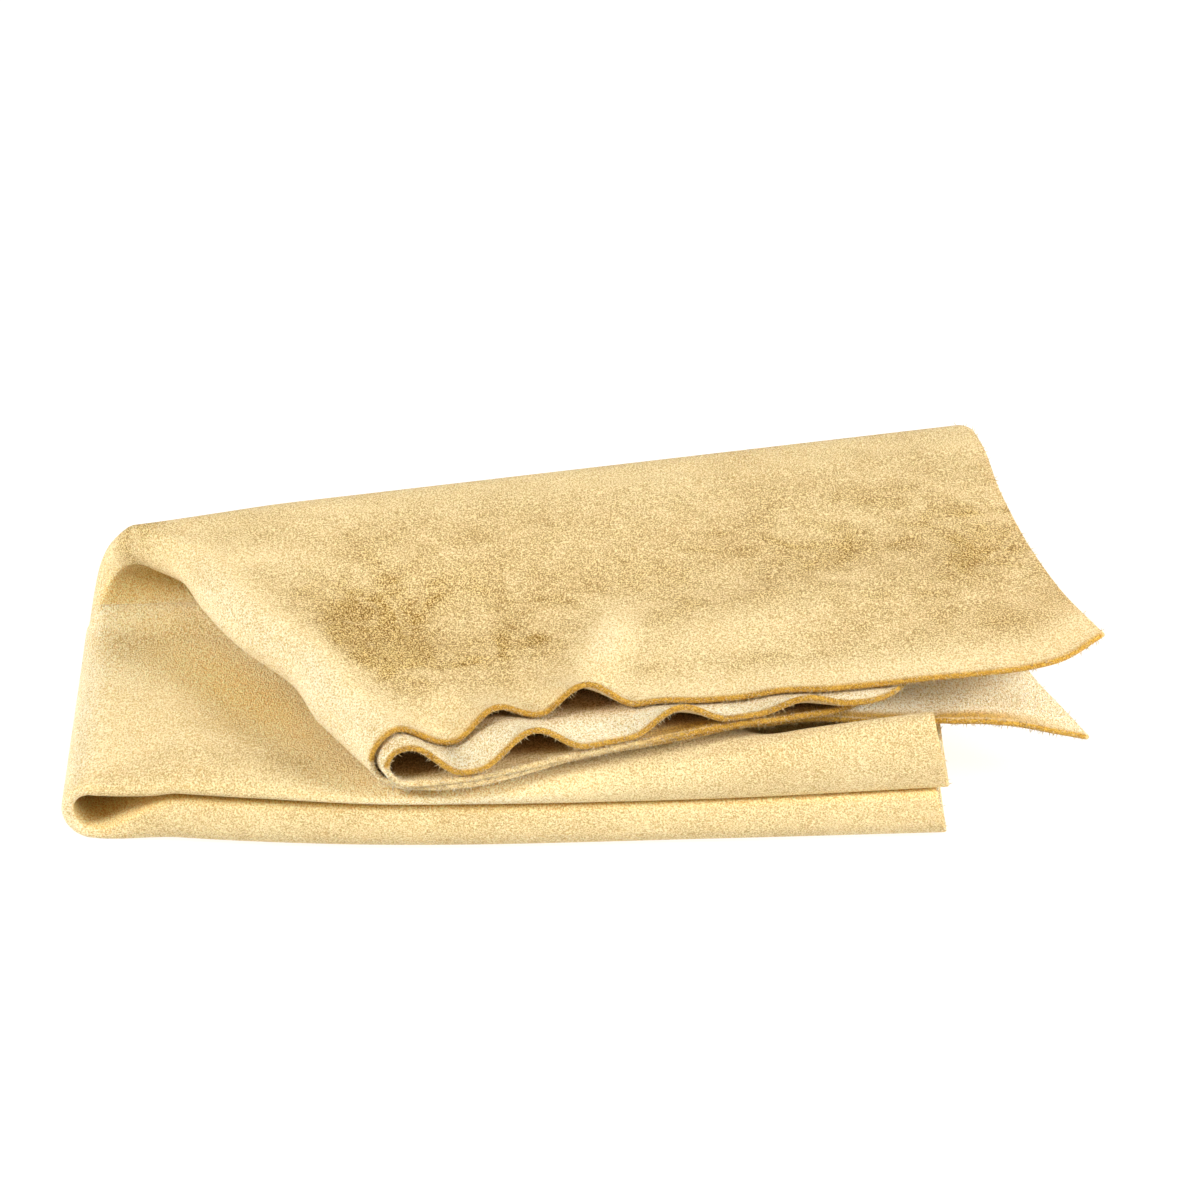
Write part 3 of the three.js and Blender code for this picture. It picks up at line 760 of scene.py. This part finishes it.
def suede(name):
    """Napped leather: mottled skin, a raised nap, paler inside, golden where it is cut, with painted shade
    and painted warm light.
    """
    material = bpy.data.materials.new(name)
    material.use_nodes = True
    tree = material.node_tree
    place = add_node(tree, "TexCoord", {}).outputs["Object"]
    lying = add_node(tree, "Mapping", {"Vector": place, "Scale": NAP_STRETCH}).outputs["Vector"]
    mottle = noise(tree, place, *MOTTLE)
    clumps = noise(tree, place, *CLUMPS)
    nap = noise(tree, lying, *NAP)
    pebble = noise(tree, place, *PEBBLES)

    tone = 0.0
    for pattern, share in zip((mottle, clumps, nap), TONE_SHARES):
        tone = math_node(tree, "ADD", tone, math_node(tree, "MULTIPLY", pattern, share))
    # The nap's lay, with painted shade above 0 and painted light below it
    nap_lay_and_shading = attribute(tree, "brushed")
    patchy = add_node(tree, "MapRange", {"Value": clumps, **PATCHY_NAP_AND_SHADE}).outputs["Result"]
    brushed = math_node(tree, "MULTIPLY", nap_lay_and_shading, patchy)
    worn_and_painted_light = math_node(tree, "MULTIPLY", nap_lay_and_shading, -1)
    pale = math_node(tree, "MAXIMUM", attribute(tree, "inner_face"), worn_and_painted_light)
    colour = mix(tree, brushed, tones(tree, tone, PALE_TONES), tones(tree, tone, DARK_TONES))
    colour = mix(tree, pale, colour, tones(tree, tone, INNER_TONES))
    # Painted warm light, then painted shade between the layers
    colour = mix(tree, attribute(tree, "warm"), colour, tones(tree, tone, WARM_TONES))
    colour = mix(tree, attribute(tree, "hollow"), colour, tones(tree, tone, HOLLOW_SHADE_TONES))
    rough_cut = math_node(tree, "ADD", math_node(tree, "MULTIPLY", nap, RAGGED_GAIN), RAGGED_BASE)
    ragged = math_node(tree, "MULTIPLY", attribute(tree, "cut_edge"), rough_cut)
    colour = mix(tree, ragged, colour, tones(tree, nap, CUT_TONES))

    pebbled = add_node(tree, "Bump", {"Height": pebble, **PEBBLE_RELIEF}).outputs["Normal"]
    raised = add_node(tree, "Bump", {"Height": nap, "Normal": pebbled, **NAP_RELIEF}).outputs["Normal"]
    shader = tree.nodes["Principled BSDF"]
    set_inputs(tree, shader, {"Base Color": colour, "Normal": raised, **SUEDE_SURFACE})
    return material


piece, origin, edge = build_sheet("chamois")
fringe = build_fringe("edge_fibres", edge, origin)
skin = suede("chamois_suede")
for made in (piece, fringe):
    made.data.materials.append(skin)
    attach(made, "root")
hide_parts("chamois_sheet")

# Camera: the photograph's angle, with the sheet a little below the middle of the frame
VIEW_ELEVATION = math.radians(27.5)
VIEW_DISTANCE = 1.3
VIEW_TARGET = np.array([165.3, 60.5, 20.0])
FOCAL_PIXELS = 4062.5
FRAME_PIXELS = 1200
TARGET_DROP = 90  # pixels below the middle of the frame
SENSOR = 36.0

camera_data = bpy.data.cameras.new("camera")
camera_data.sensor_width = SENSOR
camera_data.lens = SENSOR * FOCAL_PIXELS / FRAME_PIXELS
camera = bpy.data.objects.new("camera", camera_data)
target = (VIEW_TARGET - origin) * MM
camera.location = target + VIEW_DISTANCE * np.array([0, -math.cos(VIEW_ELEVATION), math.sin(VIEW_ELEVATION)])
camera.rotation_euler = (math.pi / 2 - VIEW_ELEVATION + math.atan(TARGET_DROP / FOCAL_PIXELS), 0, 0)
bpy.context.scene.collection.objects.link(camera)
bpy.context.scene.camera = camera

# Studio: two soft lights of (name, place, width, watts), a warm surround and a white floor that glows
LIGHTS = (
    ("key", (-1.95, -0.95, 1.45), 0.9, 64),
    ("fill", (2.05, -0.75, 0.98), 0.9, 68),
)
SURROUND = {"Color": (1, 0.8, 0.52, 1), "Strength": 0.36}
FLOOR_WIDTH = 12
FLOOR_SURFACE = {
    "Base Color": (0.2, 0.2, 0.2, 1),
    "Roughness": 0.9,
    "Emission Color": (1, 0.97, 0.93, 1),
    "Emission Strength": 0.92,
}


def area_light(name, place, width, watts):
    """A square soft light that faces the sheet."""
    data = bpy.data.lights.new(name, "AREA")
    data.shape = "SQUARE"
    data.size = width
    data.energy = watts
    light = bpy.data.objects.new(name, data)
    light.location = place
    aim = -light.location
    light.rotation_euler = aim.to_track_quat("-Z", "Y").to_euler()
    bpy.context.scene.collection.objects.link(light)


for listed in LIGHTS:
    area_light(*listed)

world = bpy.data.worlds.new("studio")
world.use_nodes = True
set_inputs(world.node_tree, world.node_tree.nodes["Background"], SURROUND)
bpy.context.scene.world = world
bpy.context.scene.view_settings.view_transform = "Standard"

bpy.ops.mesh.primitive_plane_add(size=FLOOR_WIDTH)
floor = bpy.context.object
floor.name = "floor"
floor_material = bpy.data.materials.new("floor")
floor_material.use_nodes = True
floor_tree = floor_material.node_tree
set_inputs(floor_tree, floor_tree.nodes["Principled BSDF"], FLOOR_SURFACE)
floor.data.materials.append(floor_material)
